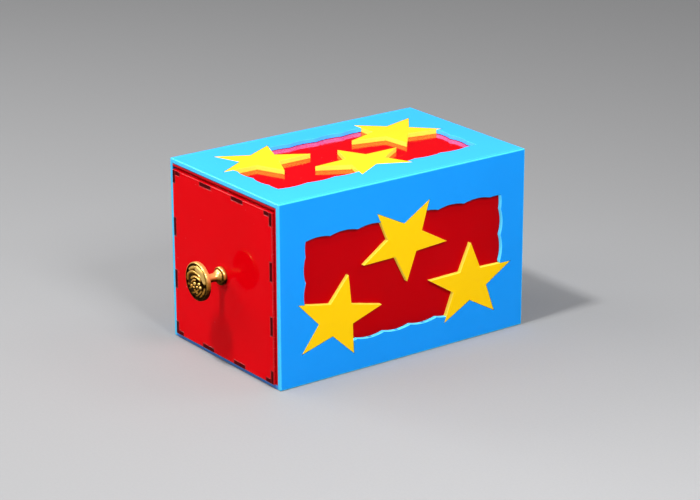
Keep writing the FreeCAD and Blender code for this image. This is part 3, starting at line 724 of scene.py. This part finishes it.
def turn_knob():
    """The drawer's knob: turned rim, neck and foot, and a crown with the rose in relief."""
    low, high = BOX["knob"]
    centre = Vector(((low.x + high.x) / 2, high.y, (low.z + high.z) / 2))
    radius = (high.x - low.x) / 2 / MM
    reach = (high.y - low.y) / MM
    solid = bmesh.new()
    row = [
        solid.verts.new(centre + Vector((away * MM, -out * MM, 0.0)))
        for away, out in knob_profile(radius, reach)
    ]
    edges = [solid.edges.new(pair) for pair in zip(row, row[1:])]
    bmesh.ops.spin(
        solid, geom=row + edges, cent=centre, axis=(0, 1, 0), angle=math.tau,
        steps=KNOB_STEPS, use_merge=True, use_duplicate=False)
    bmesh.ops.remove_doubles(solid, verts=solid.verts, dist=0.002 * MM)
    bmesh.ops.recalc_face_normals(solid, faces=solid.faces)
    solid.normal_update()
    wear = solid.verts.layers.float.new("wear")
    crown_edge = radius - KNOB_ROUND - KNOB_LIP
    crown_low = reach - KNOB_CROWN - KNOB_GROOVE - 0.01
    for vertex in solid.verts:
        vertex[wear] = brass_wear_and_light(vertex, centre, radius, reach)
    for vertex in solid.verts:
        x, z = (vertex.co.x - centre.x) / MM, (vertex.co.z - centre.z) / MM
        if math.hypot(x, z) < crown_edge - 0.01 and (centre.y - vertex.co.y) / MM > crown_low:
            vertex.co.y -= rose_rise(x, z) * MM
    piece = shown_piece(solid, "knob_rose", [antique_brass("rose_brass", "wear")])
    stand_in(piece, "knob")


def dress_all():
    for node, item in sorted(frame["nodes"].items()):
        slot = item.data.materials[0].name
        if slot in FACES:
            dress_sheet(node, slot)
        elif node != "knob":
            dress_metal(node, slot, 0.15 * MM)


# Camera, from the fit of the casing's corners in the photograph.
CAMERA_PLACE = (1.24831, -0.91759, 0.60153)
CAMERA_AZIMUTH = 53.650
CAMERA_ELEVATION = 19.367
CAMERA_ROLL = -0.144
CAMERA_LENS = 125.95


def set_camera():
    azimuth, elevation = math.radians(CAMERA_AZIMUTH), math.radians(CAMERA_ELEVATION)
    ahead = Vector((
        -math.sin(azimuth) * math.cos(elevation),
        math.cos(azimuth) * math.cos(elevation),
        -math.sin(elevation)))
    roll = Quaternion((0, 0, 1), math.radians(CAMERA_ROLL))
    camera = bpy.data.objects.new("camera", bpy.data.cameras.new("camera"))
    camera.data.lens = CAMERA_LENS
    camera.data.sensor_width = 36.0
    camera.data.clip_start = 0.05
    camera.data.clip_end = 100.0
    camera.location = CAMERA_PLACE
    camera.rotation_mode = "QUATERNION"
    camera.rotation_quaternion = ahead.to_track_quat("-Z", "Y") @ roll
    bpy.context.scene.collection.objects.link(camera)
    bpy.context.scene.camera = camera


def lay_floor():
    """A plain pale floor that runs far past the view."""
    surface = bmesh.new()
    bmesh.ops.create_grid(surface, x_segments=8, y_segments=8, size=30.0)
    paper = Finish("pale_paper")
    grain = paper.noise(600.0, 3.0)
    paper.finish(
        Base_Color=paper.blend(paper.spread(grain, 0.3, 0.7), FLOOR, [0.97 * part for part in FLOOR[:3]] + [1.0]),
        Roughness=0.75, Specular_IOR_Level=0.2)
    piece = shown_piece(surface, "floor", [paper.material])


def soft_lamp(name, place, aim, size, power):
    lamp = bpy.data.lights.new(name, "AREA")
    lamp.shape = "SQUARE"
    lamp.size = size
    lamp.energy = power
    item = bpy.data.objects.new(name, lamp)
    item.location = place
    item.rotation_mode = "QUATERNION"
    item.rotation_quaternion = (Vector(aim) - Vector(place)).to_track_quat("-Z", "Y")
    bpy.context.scene.collection.objects.link(item)


# Brightness of the studio's walls and ceiling by the sine of the elevation.
STUDIO_TONES = ((0.0, 0.15), (0.12, 0.15), (0.23, 0.03), (0.43, 0.03), (0.75, 0.40), (1.0, 0.60))


def light_studio():
    """A dome that is pale at the horizon and bright overhead, and five soft lamps."""
    world = bpy.data.worlds.new("studio")
    world.use_nodes = True
    nodes, links = world.node_tree.nodes, world.node_tree.links
    place = nodes.new("ShaderNodeTexCoord")
    split = nodes.new("ShaderNodeSeparateXYZ")
    ramp = nodes.new("ShaderNodeValToRGB")
    links.new(place.outputs["Generated"], split.inputs["Vector"])
    links.new(split.outputs["Z"], ramp.inputs["Fac"])
    stops = ramp.color_ramp.elements
    while len(stops) < len(STUDIO_TONES):
        stops.new(0.5)
    for stop, (height, tone) in zip(stops, STUDIO_TONES):
        stop.position = height
        stop.color = (tone, tone, tone, 1.0)
    links.new(ramp.outputs["Color"], nodes["Background"].inputs["Color"])
    bpy.context.scene.world = world
    soft_lamp("overhead", (0.08, -0.70, 1.50), (0, 0, 0.06), 0.15, 21.0)
    soft_lamp("front_left", (-1.14, -0.60, 0.90), (0, 0, 0.06), 0.5, 6.5)
    soft_lamp("rear_right", (0.50, 0.84, 1.25), (0, 0, 0.06), 0.5, 2.6)
    soft_lamp("right_fill", (0.62, -0.12, 0.58), (0, 0, 0.06), 0.22, 4.7)
    soft_lamp("front_fill", (-0.30, -0.62, 0.66), (0, 0, 0.06), 0.4, 1.8)


dress_all()
turn_knob()
set_camera()
lay_floor()
light_studio()
bpy.context.scene.view_settings.view_transform = "Standard"
